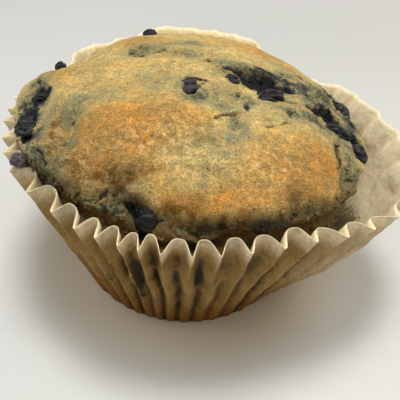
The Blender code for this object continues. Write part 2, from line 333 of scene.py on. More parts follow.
def make_piece(name, points, faces, values, material):
    """A smooth-shaded object from points in millimetres, lists of equal-sided faces, and a
    named value for each point."""
    mesh = bpy.data.meshes.new(name)
    mesh.vertices.add(len(points))
    mesh.vertices.foreach_set("co", (points * MM).astype(np.float32).ravel())
    corners = np.concatenate([group.ravel() for group in faces])
    sides = np.concatenate([np.full(len(group), group.shape[1]) for group in faces])
    mesh.loops.add(len(corners))
    mesh.loops.foreach_set("vertex_index", corners.astype(np.int32))
    mesh.polygons.add(len(sides))
    mesh.polygons.foreach_set("loop_start", (np.cumsum(sides) - sides).astype(np.int32))
    mesh.update(calc_edges=True)
    mesh.validate()
    mesh.shade_smooth()
    mesh.materials.append(material)
    piece = bpy.data.objects.new(name, mesh)
    bpy.context.collection.objects.link(piece)
    store_values(piece, values)
    return piece


def store_values(piece, values):
    """Stores a named value for each point of a piece, for its material to read."""
    for key, value in values.items():
        stored = piece.data.attributes.new(key, "FLOAT", "POINT")
        stored.data.foreach_set("value", value.astype(np.float32).ravel())


def case_wall(azimuth, share):
    """Radius and height of the outer folds at a share of the way up: straight from the
    base to the rim, pushed out and down by the flare where the wall is peeled open."""
    flare = around(azimuth, FLARE)
    out = share + WALL_BULGE * flare * share * (1 - share)
    up = share - WALL_SAG * flare * share * (1 - share) ** 2
    radius = BASE_RADIUS + (around(azimuth, RIM_RADIUS) - BASE_RADIUS) * out
    return radius, around(azimuth, RIM_HEIGHT) * up


def pleat_depth(azimuth, share):
    """How far the inner folds lie inside the outer ones, growing towards the rim."""
    growth = PLEAT_DEPTH_AT_BASE + (1 - PLEAT_DEPTH_AT_BASE) * share ** PLEAT_GROWTH_POWER
    return PLEAT_DEPTH * growth * around(azimuth, FULLNESS)


draw = np.random.default_rng(PAPER_SEED)
hidden_widths = 1 + PLEAT_WIDTH_JITTER * draw.uniform(-1, 1, HIDDEN_PLEATS)
hidden_turn = FRONT_FOLDS[0] + 360 - FRONT_FOLDS[-1]
hidden_folds = hidden_turn * np.cumsum(hidden_widths) / hidden_widths.sum()
folds = np.concatenate([FRONT_FOLDS, FRONT_FOLDS[-1] + hidden_folds])
pleats = len(folds) - 1
draw = np.random.default_rng(PAPER_SEED + 1)
pleat_strength = 1 + PLEAT_JITTER * draw.uniform(-1, 1, pleats)
pleat_neck = draw.uniform(0.1, 1, pleats)
pleat_neck_level = draw.uniform(0.60, 0.80, pleats)
pleat_lean = draw.uniform(-PLEAT_LEAN, PLEAT_LEAN, pleats)
pleat_bulge = draw.uniform(0, PANEL_BULGE, pleats)


def crease_shift(turn, share):
    """How far the creases wander sideways on the wall, as an angle: nothing at the base, most
    below the middle, and half as much at the rim."""
    wander = np.radians(CREASE_WANDER) * smooth_step(share * 2.5) * (1 - 0.5 * share)
    return wander * cloud(at_turn(DRUM_RADIUS, turn, DRUM_HEIGHT * share), *CREASE_FIELD)


def pleat_inward(phase, share):
    """Share of the pleat depth at a place along the pleats, whose whole part numbers the
    pleat. Low on the wall it is a soft wave whose inner half the batter has pushed out a
    little, at the rim the inner half is broad and the outer fold narrow, and the panel
    swells out again below the rim."""
    pleat = np.floor(phase).astype(int) % pleats
    across = phase % 1
    across = across + pleat_lean[pleat] * smooth_step((share - 0.5) * 2) * np.sin(math.pi * across) ** 2
    off_centre = np.clip(np.abs(2 * across - 1), 0, 1)
    bulged = 0.5 + 0.5 * np.cos(math.pi * off_centre ** PANEL_POWER)
    bulged = bulged * (1 - pleat_bulge[pleat] * (1 - smooth_step(off_centre / 0.6)))
    waved = 0.5 + 0.5 * np.cos(math.pi * off_centre ** RIM_POWER)
    at_rim = smooth_step((share - 0.50) / 0.50)
    narrowed = np.exp(-((share - pleat_neck_level[pleat]) / NECKING_HEIGHT) ** 2)
    necking = 1 - NECKING * pleat_neck[pleat] * narrowed
    return (bulged + (waved - bulged) * at_rim) * necking * pleat_strength[pleat]


# The columns of points crowd together at the outer folds.
phase = np.arange(pleats * PLEAT_STEPS) / PLEAT_STEPS
phase = phase - 0.5 * np.sin(2 * math.pi * phase) / (2 * math.pi)
fold_azimuth = np.radians(np.interp(phase, np.arange(pleats + 1), folds))
share = np.linspace(0, 1, WALL_RINGS + 1)[:, None]
level_share = share + 0 * fold_azimuth
wall_place = at_turn(DRUM_RADIUS, fold_azimuth, DRUM_HEIGHT * level_share)
azimuth = fold_azimuth + crease_shift(fold_azimuth, level_share)
inward = pleat_inward(phase, level_share)
radius, height = case_wall(azimuth, level_share)
fullness = around(azimuth, FULLNESS)
radius = radius - pleat_depth(azimuth, level_share) * inward
rim_rise = RIM_WAVE * inward * fullness + RIM_UNEVENNESS * cloud(wall_place, *RIM_FIELD)
height = height + rim_rise * share ** 2
crinkle = CRINKLE * cloud(wall_place * (1, 1, 1.5), *CRINKLE_FIELD)
crinkle = crinkle + FLAP_SWELL * cloud(wall_place, *SWELL_FIELD) * (1 - fullness)
radius = radius + crinkle * smooth_step(share * 6) * (1 - 0.4 * smooth_step((share - 0.85) / 0.15))
outer = at_turn(radius, azimuth, height)
outer[0, :, 2] = 0
up_wall = np.gradient(outer, axis=0)
along_wall = np.roll(outer, -1, axis=1) - np.roll(outer, 1, axis=1)
facing = np.cross(along_wall, up_wall)
inner = outer - PAPER_THICKNESS * facing / np.linalg.norm(facing, axis=-1, keepdims=True)
inner[0, :, 2] = PAPER_THICKNESS
wall = np.concatenate([outer, inner[::-1]])

base_share = np.linspace(0, 1, BASE_RINGS + 1)[1:-1, None, None]
under_floor = outer[0] * base_share
over_floor = inner[0] * (1, 1, 0) * base_share[::-1] + (0, 0, PAPER_THICKNESS)
case_rings = np.concatenate([under_floor, wall, over_floor])
case_points = np.concatenate([case_rings.reshape(-1, 3), [(0, 0, 0), (0, 0, PAPER_THICKNESS)]])
columns = len(phase)
first_ring = np.arange(columns)
under_tip = len(case_points) - 2
case_faces = [grid_quads(len(case_rings), columns, True), fan(first_ring, under_tip)[:, ::-1],
              fan(first_ring + under_tip - columns, under_tip + 1)]


def wall_patches(patches):
    """The sum of soft patches on the wall: strength * exp(-u^2 - v^2), with u and v the
    distances round and up from the middle over the half-sizes."""
    total = np.zeros(outer.shape[:2])
    for centre, level, half_width, half_height, strength in patches:
        away = (np.degrees(azimuth) - centre + 180) % 360 - 180
        total += strength * np.exp(-(away / half_width) ** 2 - ((share - level) / half_height) ** 2)
    return total


stain_and_groove_shadow = wall_patches(PAPER_STAINS_AND_GROOVE_SHADOW)
residue = wall_patches(PAPER_RESIDUE)
open_flap = np.clip(around(azimuth, FLARE) / FULL_FLARE, 0, 1)


def over_case(outside, inside):
    """One value for each point of the case, from the values over its outer and inner wall."""
    under = np.broadcast_to(outside[:1], (BASE_RINGS - 1, columns))
    over = np.broadcast_to(inside[:1], (BASE_RINGS - 1, columns))
    both = np.concatenate([under, outside, inside[::-1], over])
    return np.concatenate([both.ravel(), [outside[0, 0], inside[0, 0]]])


def srgb(red, green, blue):
    """A linear colour from 0 to 255 screen values, by the usual screen curve."""
    screen = np.array([red, green, blue]) / 255
    linear = np.where(screen <= 0.04045, screen / 12.92, ((screen + 0.055) / 1.055) ** 2.4)
    return (*linear.tolist(), 1)


# The dry paper's own pale colour, made lighter still as painted light where it shows: inside the flap and
# along the rim.
PAPER_DRY_AND_PAINTED_LIGHT = srgb(242, 226, 190)
PAPER_GREASED = srgb(152, 120, 65)
PAPER_SOAKED = srgb(60, 40, 11)
PAPER_BROWNED = srgb(134, 82, 8)
PAPER_STAIN_AND_SHADOW = srgb(18, 13, 8)
PAPER_CRUMB = srgb(138, 122, 76)


grain_group = bpy.data.node_groups.new("fine grain", "ShaderNodeTree")
grain_group.interface.new_socket(name="Vector", in_out="INPUT", socket_type="NodeSocketVector")
for name, value in (("Scale", 1000.0), ("Low", 0.4), ("High", 0.6)):
    socket = grain_group.interface.new_socket(name=name, in_out="INPUT", socket_type="NodeSocketFloat")
    socket.default_value = value
grain_group.interface.new_socket(name="Mask", in_out="OUTPUT", socket_type="NodeSocketFloat")
grain_in = grain_group.nodes.new("NodeGroupInput").outputs
grain_out = grain_group.nodes.new("NodeGroupOutput").inputs
grain_noise = node("ShaderNodeTexNoise", {"Vector": grain_in["Vector"], "Scale": grain_in["Scale"],
                                          "Detail": 3.0, "Roughness": 0.7})
grain_map = node("ShaderNodeMapRange", {"Value": grain_noise.outputs["Fac"], "From Min": grain_in["Low"],
                                        "From Max": grain_in["High"]})
grain_group.links.new(grain_map.outputs["Result"], grain_out["Mask"])


def grain(place, scale, low=0.4, high=0.6):
    """Places the fine grain group: a mask that rises from 0 to 1 between low and high."""
    levels = {"Vector": place, "Scale": scale, "Low": low, "High": high}
    return node("ShaderNodeGroup", levels, node_tree=grain_group).outputs["Mask"]


def times(*factors):
    """The product of several values."""
    product = factors[0]
    for factor in factors[1:]:
        product = reckon("MULTIPLY", product, factor)
    return product


def rest(value):
    """What a value leaves of 1."""
    return reckon("SUBTRACT", 1.0, value)


def shade(value, low, high, dark, light, colour):
    """Multiplies a colour by a grey that rises from dark at low to light at high."""
    return blend(1.0, colour, band(value, low, high, dark, light), "MULTIPLY")


def attribute(shader, name):
    """A value stored on the mesh, read in a shader's material."""
    return node("ShaderNodeAttribute", tree=shader.id_data, attribute_name=name).outputs["Fac"]


def bump(shader, fine_height, strength, distance):
    """Feeds a fine height in metres to the shader's normal."""
    made = node("ShaderNodeBump", {"Strength": strength, "Distance": distance, "Height": fine_height})
    feed(shader, "Normal", made.outputs["Normal"])


paper_material, paper_shader, paper_place = new_material("baking paper", 0.66, 0.16)
tall_place = node("ShaderNodeMapping", {"Vector": paper_place, "Scale": (1, 1, 0.35)}).outputs["Vector"]
paper_rise = attribute(paper_shader, "rise")
paper_clear = rest(attribute(paper_shader, "dry"))
paper_patches = grain(tall_place, 330, 0.36, 0.64)
paper_mottle = grain(paper_place, 800, 0.30, 0.70)
paper_colour = blend(times(band(paper_rise, 0.84, 1.0, 1.0, 0.25), paper_clear), PAPER_DRY_AND_PAINTED_LIGHT, PAPER_GREASED)
low_wall = times(rest(band(paper_rise, 0.05, 0.50)), 0.8, paper_clear)
paper_colour = blend(low_wall, paper_colour, PAPER_BROWNED)
soaked_and_shaded_folds = times(band(attribute(paper_shader, "fold"), 0.30, 1.0), rest(band(paper_rise, 0.70, 0.92)),
              paper_clear)
paper_colour = blend(times(soaked_and_shaded_folds, band(paper_patches, 0, 1, 0.45, 1.0)), paper_colour, PAPER_SOAKED)
# Painted shade deep in the inner folds, and a little painted light on the outer folds.
paper_colour = shade(soaked_and_shaded_folds, 0.15, 0.95, 1.08, 0.58, paper_colour)
paper_colour = shade(paper_mottle, 0, 1, 0.86, 1.12, paper_colour)
paper_colour = shade(times(paper_patches, paper_clear), 0, 1, 1.08, 0.80, paper_colour)
stain_and_shadow_edge = band(grain(paper_place, 420, 0.3, 0.7), 0, 1, -0.28, 0.28)
stained_and_shadowed = reckon("ADD", attribute(paper_shader, "stain_and_groove_shadow"), stain_and_shadow_edge)
# Dark berry stains, and the painted groove shadow, laid over the paper.
paper_colour = blend(times(band(stained_and_shadowed, 0.22, 1.15), 0.9), paper_colour, PAPER_STAIN_AND_SHADOW)
crumbed = reckon("ADD", attribute(paper_shader, "residue"), band(paper_mottle, 0, 1, -0.4, 0.3))
paper_colour = blend(band(crumbed, 0.15, 0.70, 0.0, 0.85), paper_colour, PAPER_CRUMB)
feed(paper_shader, "Base Color", paper_colour)
bump(paper_shader, grain(paper_place, 520, 0.3, 0.7), 0.5, 0.00025)

dry_inside = np.maximum(open_flap, smooth_step((share - 0.78) / 0.08))
paper_case = make_piece("baking_paper_case", case_points, case_faces, {
    "rise": over_case(level_share, level_share),
    "fold": over_case(inward, inward),
    "stain_and_groove_shadow": over_case(np.clip(stain_and_groove_shadow, 0, 1.3), 0 * stain_and_groove_shadow),
    "residue": over_case(0 * residue, residue),
    "dry": over_case(0.35 * open_flap * smooth_step(share * 3), dry_inside),
}, paper_material)
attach(paper_case, "root")
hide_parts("paper_case")


# The muffin: one piece of baked batter. It filled the pleats of the case almost to the rim,
# then rose into a low, uneven crown that browned where it stood highest and split round
# the berries. The crown is a height over a round grid, and the side hangs from its lip.
GAP = 0.35
CAD_PAPER = 0.3
CROWN_HEIGHT = 57.5
CROWN_INNER_POWER = 2.1
CROWN_OUTER_POWER = 0.85
BODY_TAPER = 0.384
BODY_SHRINK = 0.9
RIM_CLEARANCE = 2.2
LIP_RADIUS = (
    (-96, 41.2), (-86, 41.2), (-74, 40.6), (-60, 42.5), (-35, 43.3), (-12, 43), (10, 42.1), (40, 40.8),
    (65, 42.2), (90, 42.4), (125, 42.8), (145, 41), (158, 39.5), (170, 43), (185, 42.5), (200, 41.8),
    (216, 41.4), (226, 40.4), (233, 39.8), (242, 40), (256, 40.6),
)
LIP_HEIGHT = (
    (-96, 45.8), (-84, 45.4), (-74, 47.8), (-58, 47.2), (-45, 46), (-12, 42.5), (20, 41.5), (50, 41),
    (90, 42), (140, 42), (158, 43.5), (180, 46.5), (225, 48), (240, 46.6), (254, 47),
)
# Swellings and dents: place (x, y), half-widths, turn in degrees, height.
RELIEF = (
    (-14, -24, 13, 9, 12, 1.7), (21, -24, 13, 10, 20, 1), (-31, -1, 8, 10, 0, 1),
    (-15, 21, 10, 6, -25, 0.9), (15, 23, 12, 6, 10, 0.7), (0, -38, 9, 6, 0, 0.9),
    (-22, -30, 7, 2.4, -16, -1), (-11, -33.5, 5, 2, -4, -0.8), (-7.6, -38.6, 2.4, 4, -14, -1.6),
    (15, -2.5, 10, 4.5, -4, -1.5), (-2.5, 7.5, 7, 2.4, 8, -0.8), (-14.5, 9.5, 6, 2.2, -22, -1),
    (34, -6.5, 5, 4, -20, -0.9), (-36.5, -12, 4.5, 9, 10, -1.2), (38, 8, 3.5, 8, 20, -0.8),
    (9, -13, 7, 5, 40, -0.7), (5, -24, 6, 5, 30, -0.6),
)
# The browned crust ends in a step down to paler crumb on the right and at the front.
CRUST_EDGE_X = 33.3
CRUST_EDGE_RADIUS = (
    (-180, 50), (-142, 50), (-133, 39.6), (-124, 37.6), (-116, 36.2), (-109, 35), (-104, 35.6),
    (-96, 38), (-88, 38.8), (-77, 39.2), (-57, 40.6), (-40, 41.8), (-20, 50),
)
# How much painted shade the ledge gets round the muffin: deep at the front, and pale at the right.
LEDGE_PAINTED_SHADE = (
    (-140, 0.15), (-125, 0.22), (-110, 0.26), (-98, 0.34), (-70, 0.48), (-46, 0.5), (-34, 0.3),
    (-24, 0), (60, 0),
)
CRUST_STEP = 2.4
CRUST_EDGE_WIDTH = 0.9
LEDGE_SPAN = ((-180, 0), (-138, 0), (-126, 0.8), (-86, 1), (-30, 1), (-16, 0), (60, 0))
# Smaller lumps and furrows of the crust, in the same terms.
SMALL_RELIEF = (
    (-13, -31.6, 9, 1.3, 6, -1.3), (-25.4, -18, 1.8, 7, 6, -1.7), (-22.5, -14, 4, 1.6, 30, -0.5),
    (-17, -17, 6, 4, 10, 0.9), (-7, -15.5, 7, 4, -10, 0.8), (2.6, -21.5, 2.6, 4.5, 20, 0.6),
    (4.8, -17.5, 1.4, 4, -24, -0.7), (10.8, -15.5, 1.8, 4.5, -20, -0.9), (8, -23.5, 3.4, 2.4, 15, -0.6),
    (18, -14, 5, 4, 0, 0.5), (27, -19, 5, 4, 0, 0.3), (-31, -21, 2.4, 5, -10, 0.6),
    (-26, -27.5, 4, 2.4, -40, 0.5), (-18.7, -37.3, 1.8, 1.3, 0, 1.9), (-14, -36.8, 3, 1.6, -10, 0.9),
    (-22.5, -34.5, 1.6, 1.6, 0, 1), (-12.6, -39.2, 2.2, 1.2, 0, 0.8), (22.5, -32.6, 1.6, 3, 0, -0.6),
    (10, 5.6, 6, 1.6, -10, 0.7), (24, 8.2, 7, 1.4, -22, 0.6), (28, 3, 4, 1.2, -20, -0.6),
    (31.5, 7, 3, 1.2, -40, 0.5), (31, -0.6, 4, 1, -20, 0.5), (35, 4, 1.6, 4, 10, -0.7),
    (-3, 11, 10, 2.2, 3, 0.5), (-4, 8.6, 7, 1, 4, -0.4), (-14.5, 11.5, 5, 1.2, -12, -0.6),
    (-15, 15, 7, 2, -12, 0.4), (-20, -6, 6, 4, 20, 0.3), (-29, -8, 3, 5, 0, 0.4),
    (36.5, -14, 2, 5, 0, 0.4), (3.5, -38.8, 1, 2.6, 8, -1), (-36.5, 3, 2.4, 5, 10, 0.7),
)
# Cracks: half-width, depth, and the points that each runs through.
CRACKS = (
    (0.24, 1.3, ((6.0, -15.0), (7.6, -13.8), (9.6, -13.4), (11.2, -12.4), (12.4, -10.8), (12.5, -8.6))),
    (0.22, 1.1, ((16.5, -1.6), (19.0, -2.4), (21.0, -4.0), (23.4, -3.8), (26.5, -2.4))),
    (0.24, 0.9, ((-18.6, 11.6), (-16.4, 10.4), (-13.0, 9.8), (-7.6, 10.0))),
    (0.22, 0.5, ((2.2, 5.8), (4.4, 3.6), (7.6, 1.4), (10.6, -0.4))),
    (0.18, 0.4, ((23.0, -8.0), (22.6, -12.0), (20.0, -15.6), (16.0, -17.6))),
    (0.30, 0.9, ((33.4, -12.5), (33.0, -15.5), (33.8, -18.0), (33.3, -21.0))),
    (0.40, 1.3, ((-33.0, -26.2), (-30.0, -29.4), (-27.4, -31.0), (-25.2, -33.6))),
    (0.32, 1.0, ((-22.5, -32.8), (-20.4, -34.0), (-18.0, -34.2), (-15.2, -33.4))),
    (0.26, 0.8, ((-16.6, -35.8), (-15.2, -38.0), (-11.6, -37.6))),
    (0.22, 0.6, ((-33.2, -22.6), (-30.4, -24.8), (-29.4, -27.4))),
)
# Holes in the crust over the berries: place, half-widths, turn, depth.
HOLES = (
    (-0.3, -6.8, 1.8, 2.7, 4, 0.8), (0, -3.8, 2.1, 0.7, 6, 2.6), (15.6, 1.4, 4.6, 3, -10, 1.8),
    (13.2, -1, 1.7, 0.8, -14, 2.4), (20.8, 0, 3.4, 1.2, 6, 0.9), (9.4, 2.6, 2.6, 0.8, -14, 0.6),
    (33.2, -3.6, 3.7, 2, -24, 1.7), (28.6, -3.6, 2.4, 0.7, -18, 0.8), (39.8, -6.6, 1.8, 2, 0, 1.6),
    (37.6, 8, 1.6, 4.4, 14, 1.2), (39.4, 1.2, 0.9, 3, 0, 0.8), (34.2, 4.4, 0.9, 1.8, 10, 0.7),
    (-34.6, -5.2, 1.6, 2.6, 10, 1.6), (-37, -12.6, 2.6, 4, 18, 1.5), (-35.6, -17.6, 1.2, 2.2, 12, 1.2),
    (-10.4, -36.2, 2, 1, -34, 1.2), (-7.6, -38.6, 1.3, 2.8, 32, 2.2),
)
CROWN_CELLS = 252
PAPER_CLEARANCE = 0.7
UNDER_LIP = ((0, 0), (1.0, 0.5), (2.4, 1.6), (4.2, 2.6))
UNDER_RINGS = 12
TORN_SPAN = ((-180, 0), (-150, 0.5), (-135, 1), (-108, 1), (-98, 0.4), (-80, 0), (60, 0))
SHELF_RINGS = 8
SHELF_DEPTH = (
    (-170, 4.2), (-156, 2.4), (-146, 2.2), (-136, 4.4), (-126, 3.4), (-118, 1.6), (-108, 1.8),
    (-101, 4.6), (-92, 3.6), (-78, 3.4), (-40, 4), (150, 4.2),
)
BODY_LEVELS = (34, 28, 22, 16, 10, 5, 2)
BOTTOM_SHARES = (0.8, 0.6, 0.4, 0.2)
EDGE_WANDER = 0.9
SMALL_RELIEF_FACTOR = 1.35
MARK_WANDER = 0.75
HOLE_EDGE = 1.15
HOLE_EDGE_WIDTH = 0.40
HOLE_LIP = 0.22
HOLD_BLEND = 0.6
TORN_HOLD = 0.8
SHELF_UNEVENNESS = 1.4
SHELF_UNDER_RECESS = 2.0
BODY_UNDER_SHELF = 1.5
# Random fields on the muffin: size, seed and layers.
EDGE_FIELD = (3.2, 21, 3)
MARK_X_FIELD = (2.2, 41, 3)
MARK_Y_FIELD = (2.2, 42, 3)
BREAK_FIELD = (1.6, 43)
SHELF_FIELD = (4, 81, 2)
LUMP_FIELD = (7.0, 51, 3)
SMALL_LUMP_FIELD = (3.0, 54, 2)
GRAIN_FIELD = (1.0, 52, 2)
WRINKLE_FIELD = (2.4, 53, 2)
FLAKE_FIELD = (1.9, 55, 2)
SWELLING_FIELD = (4.4, 56, 2)
# Pores: size of their cells, seed, and the share of the cells that hold one.
FINE_PORES = (1.4, 61, 0.35)
LARGE_PORES = (3.2, 71, 0.40)
# Fine heights. Of a pair, the first is everywhere and rough crumb adds the second.
LUMP_HEIGHT = 0.50
SMALL_LUMP_HEIGHT = (0.20, 0.40)
GRAIN_HEIGHT = (0.08, 0.24)
FLAKE_HEIGHT = 0.45
SWELLING_HEIGHT = 0.35
FINE_PIT_DEPTH = 0.45
LARGE_PIT_DEPTH = 0.75
WRINKLE_DEPTH = 0.35


def patch_reach(x, y, patch):
    """Distance from a patch's middle as a share of its half-widths: 1 on its outline."""
    centre_x, centre_y, wide, deep, turn = patch[:5]
    cosine, sine = math.cos(math.radians(turn)), math.sin(math.radians(turn))
    along = ((x - centre_x) * cosine + (y - centre_y) * sine) / wide
    across = ((y - centre_y) * cosine - (x - centre_x) * sine) / deep
    return np.hypot(along, across)


def relief(x, y, patches):
    """The sum of soft patches: each is its last number * exp(-r^2), with r its reach."""
    total = np.zeros(np.shape(x))
    for patch in patches:
        total += patch[5] * np.exp(-patch_reach(x, y, patch) ** 2)
    return total


def path_distance(x, y, path):
    """Distance from each point to the nearest stretch of a path of straight stretches."""
    nearest = np.full(np.shape(x), np.inf)
    for (ax, ay), (bx, by) in zip(path, path[1:]):
        length = math.hypot(bx - ax, by - ay)
        along = np.clip(((x - ax) * (bx - ax) + (y - ay) * (by - ay)) / length ** 2, 0, 1)
        nearest = np.minimum(nearest, np.hypot(x - ax - along * (bx - ax), y - ay - along * (by - ay)))
    return nearest


def crown_base(x, y, wander):
    """The crown without its small marks, and the share of the step down to the ledge. From
    the lip to the middle it rises by (1 - s^p)^q of its height, with s the share of the
    lip's radius, p the inner power and q the outer one. Then come the swellings and dents,
    and the step beyond the crust's edge, which wanders by a random field."""
    turn = np.arctan2(y, x)
    away = np.hypot(x, y)
    lip = around(turn, LIP_HEIGHT)
    reach = np.clip(away / around(turn, LIP_RADIUS), 0, 1)
    dome = (1 - reach ** CROWN_INNER_POWER) ** CROWN_OUTER_POWER
    level = lip + (CROWN_HEIGHT - lip) * dome + relief(x, y, RELIEF)
    outside = np.maximum(x - CRUST_EDGE_X, away - around(turn, CRUST_EDGE_RADIUS))
    ledge = smooth_step((outside + wander) / CRUST_EDGE_WIDTH) * around(turn, LEDGE_SPAN)
    return level - CRUST_STEP * ledge, ledge


def wall_share(azimuth, level):
    """The share of the way up the wall at which the outer folds reach a height."""
    up = np.clip(level / around(azimuth, RIM_HEIGHT), 0, 1)
    for _ in range(8):
        up = np.clip(up + (level - case_wall(azimuth, up)[1]) / around(azimuth, RIM_HEIGHT), 0, 1)
    return up


def case_inside(turn, level):
    """Radius just inside the innermost folds at a height, or at the rim above it."""
    up = wall_share(turn, level)
    return case_wall(turn, up)[0] - (1 + PLEAT_JITTER) * pleat_depth(turn, up) - CAD_PAPER - GAP


def pleated_inside(turn, level):
    """Radius just inside the pleated paper itself at a height."""
    up = wall_share(turn, level)
    unshifted = np.degrees(turn - crease_shift(turn, up))
    along = np.interp((unshifted - folds[0]) % 360 + folds[0], folds, np.arange(pleats + 1))
    folded = pleat_depth(turn, up) * pleat_inward(along % pleats, up)
    return case_wall(turn, up)[0] - folded - PAPER_CLEARANCE


def disc_grid(cells):
    """A square grid squeezed onto a disc of radius 1: a square ring of points becomes a
    circle, and its corners are spread evenly, so the middle has no pole."""
    across, up = np.meshgrid(np.linspace(-1, 1, cells + 1), np.linspace(-1, 1, cells + 1), indexing="xy")
    wide = np.abs(across) >= np.abs(up)
    safe_across = np.where(across == 0, 1, across)
    safe_up = np.where(up == 0, 1, up)
    reach = np.where(wide, across, up)
    turn = np.where(wide, math.pi / 4 * up / safe_across, math.pi / 2 - math.pi / 4 * across / safe_up)
    turn = np.where((across == 0) & (up == 0), 0, turn)
    return reach * np.cos(turn), reach * np.sin(turn)


disc_x, disc_y = disc_grid(CROWN_CELLS)
disc_turn = np.arctan2(disc_y, disc_x)
lip_cap = np.where(around(disc_turn, LIP_HEIGHT) < around(disc_turn, RIM_HEIGHT) + RIM_CLEARANCE,
                   case_inside(disc_turn, around(disc_turn, LIP_HEIGHT)), np.inf)
crown_radius = np.minimum(around(disc_turn, LIP_RADIUS), lip_cap)
crown_x, crown_y = disc_x * crown_radius, disc_y * crown_radius
crown_place = np.stack([crown_x, crown_y], axis=-1)
edge_wander = EDGE_WANDER * cloud(crown_place, *EDGE_FIELD)
crown_z, crown_ledge = crown_base(crown_x, crown_y, edge_wander)
crown_z = crown_z + SMALL_RELIEF_FACTOR * relief(crown_x, crown_y, SMALL_RELIEF)
marked_x = crown_x + MARK_WANDER * cloud(crown_place, *MARK_X_FIELD)
marked_y = crown_y + MARK_WANDER * cloud(crown_place, *MARK_Y_FIELD)
crown_hollow = np.zeros_like(crown_z)
for hole in HOLES:
    reach = patch_reach(marked_x, marked_y, hole)
    opened = smooth_step((HOLE_EDGE - reach) / HOLE_EDGE_WIDTH)
    crown_z = crown_z - hole[5] * opened + HOLE_LIP * np.exp(-((reach - 1.4) / 0.25) ** 2)
    crown_hollow = np.maximum(crown_hollow, opened)
crack_mask = np.zeros_like(crown_z)
broken = smooth_step(0.75 + 1.2 * cloud(crown_place, *BREAK_FIELD))
for half_width, depth, path in CRACKS:
    near = np.exp(-(path_distance(marked_x, marked_y, path) / half_width) ** 2) * broken
    crown_z = crown_z - depth * near
    crack_mask = np.maximum(crack_mask, near)

# The lip is the grid's outer square ring, taken once round anticlockwise.
numbers = np.arange((CROWN_CELLS + 1) ** 2).reshape(CROWN_CELLS + 1, CROWN_CELLS + 1)
lip_numbers = np.concatenate([numbers[:-1, -1], numbers[-1, :0:-1], numbers[:0:-1, 0], numbers[0, :-1]])
crown_points = np.stack([crown_x, crown_y, crown_z], axis=-1).reshape(-1, 3)
lip_points = crown_points[lip_numbers]
lip_turn = np.arctan2(lip_points[:, 1], lip_points[:, 0])
lip_reach = np.hypot(lip_points[:, 0], lip_points[:, 1])
lip_place = lip_points[:, :2]
rim_level = around(lip_turn, RIM_HEIGHT)
side_rings = []
under_drop, under_inset = np.array(UNDER_LIP).T
for drop in np.linspace(0, under_drop[-1], UNDER_RINGS + 1)[1:]:
    inset = np.interp(drop, under_drop, under_inset) * (1 - TORN_HOLD * around(lip_turn, TORN_SPAN))
    level = lip_points[:, 2] - drop
    free = lip_reach - inset
    held_in = smooth_step((rim_level + RIM_CLEARANCE + HOLD_BLEND - level) / HOLD_BLEND)
    side_rings.append((free + (np.minimum(free, pleated_inside(lip_turn, level)) - free) * held_in, level))
recess_reach, recess_level = side_rings[-1]
peeled = smooth_step(around(lip_turn, FLARE) / FULL_FLARE)


def body_reach(level):
    """Radius of the body: out to the pleated paper, or the plain cone where it is peeled."""
    fitted = pleated_inside(lip_turn, level)
    cone = BASE_RADIUS + BODY_TAPER * level - BODY_SHRINK
    return fitted + (np.minimum(cone, fitted) - fitted) * peeled


shelf_level = rim_level - around(lip_turn, SHELF_DEPTH) + SHELF_UNEVENNESS * cloud(lip_place, *SHELF_FIELD)
shelf_level = shelf_level + (recess_level - SHELF_UNDER_RECESS - shelf_level) * peeled
shelf_reach = body_reach(shelf_level)
for step in np.linspace(0, 1, SHELF_RINGS + 1)[1:]:
    side_rings.append((recess_reach + (shelf_reach - recess_reach) * step,
                       recess_level + (shelf_level - recess_level) * smooth_step(step)))
body_levels = [np.minimum(level, shelf_level - BODY_UNDER_SHELF) for level in BODY_LEVELS]
side_rings += [(body_reach(level), level) for level in (*body_levels, CAD_PAPER + GAP + 0 * shelf_level)]
floor_reach, floor_level = side_rings[-1]
side_rings += [(floor_reach * part, floor_level) for part in BOTTOM_SHARES]
side_points = np.stack([at_turn(reach, lip_turn, level) for reach, level in side_rings])
lip_count = len(lip_numbers)
muffin_points = np.concatenate([crown_points, side_points.reshape(-1, 3), [(0, 0, CAD_PAPER + GAP)]])
crown_count = len(crown_points)
side_ring = crown_count + np.arange(lip_count)
last_ring = side_ring + (len(side_rings) - 1) * lip_count
muffin_faces = [
    grid_quads(CROWN_CELLS + 1, CROWN_CELLS + 1, False),
    np.stack([lip_numbers, side_ring, np.roll(side_ring, -1), np.roll(lip_numbers, -1)], axis=-1),
    (grid_quads(len(side_rings), lip_count, True) + crown_count)[:, ::-1],
    fan(last_ring, len(muffin_points) - 1)[:, ::-1],
]

# Marks over the crown, as soft patches: place (x, y), half-widths, turn, strength. The crust
# is browned, stained by juice, or opened over dark berry skin; where it lies in deep shade, a
# patch of painted shade darkens it.
BROWNED = (
    (-17, -20, 8, 6.5, 10, 0.88), (-8, -18.5, 10, 7, 0, 0.72), (-15, -27, 8.5, 4, 6, 0.95),
    (-2, -15, 7, 3.6, -24, 0.4), (2, -20, 3.6, 3.6, 0, 0.35), (-20, -22, 3.4, 7, 0, 0.3),
    (22, -24, 11, 7.5, 24, 0.74), (30, -20, 4.5, 7, 20, 0.65), (26, -28, 7, 3.6, 28, 0.6),
    (-15.5, 18, 8, 4.5, -16, 0.7), (14, 21, 12, 4.6, 4, 0.55), (23, 16, 7, 4, -30, 0.5),
    (-33, 2, 6, 6, 0, 0.55), (-24, 4, 7, 6, 0, 0.35), (0, -36.6, 9, 2.4, 0, 0.95),
    (12, -35, 9, 3, 14, 0.75), (-31, -21, 2.6, 6, -10, 0.45), (-8, 3, 9, 5, 0, 0.22),
    (-27, -27, 5, 3, -40, 0.35), (-4, -31.5, 7, 3, 0, 0.35), (10, -29, 6, 4, 10, 0.25),
    (-22, -6, 6, 4, 0, 0.25), (-12, -7, 6, 4, 0, 0.2),
)
